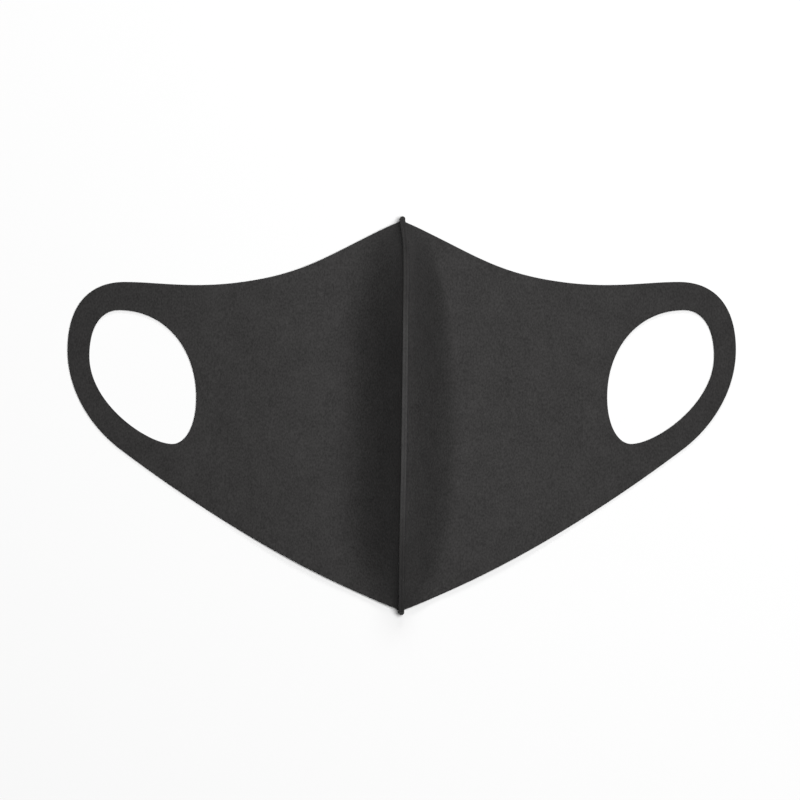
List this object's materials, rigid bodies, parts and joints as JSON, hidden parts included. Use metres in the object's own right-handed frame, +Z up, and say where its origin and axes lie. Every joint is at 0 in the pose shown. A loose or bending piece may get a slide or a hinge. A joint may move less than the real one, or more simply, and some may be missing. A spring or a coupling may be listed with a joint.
{
  "type": "cloth face mask",
  "caption": "Soft foam-cloth face mask laid open: two die-cut panels with ear loops in one piece, joined along an arched ridge by a welded centre fin.",
  "frame": {"origin": "centre of the mask's footprint, on the surface that it lies on", "axes": "+X across the mask from loop to loop, to the right of the picture; +Y to the nose end of the seam; +Z up from the surface, through the crest of the ridge"},
  "size_m": [0.2316, 0.1378, 0.0446],
  "materials": {
    "cloth": "matt dark grey foam cloth with a fine grain",
    "pressed_cloth": "the same cloth, welded in two layers, a little smoother"
  },
  "bodies": {
    "root": {"left_panel": "cloth", "right_panel": "cloth", "centre_seam": "pressed_cloth"}
  },
  "joints": []
}
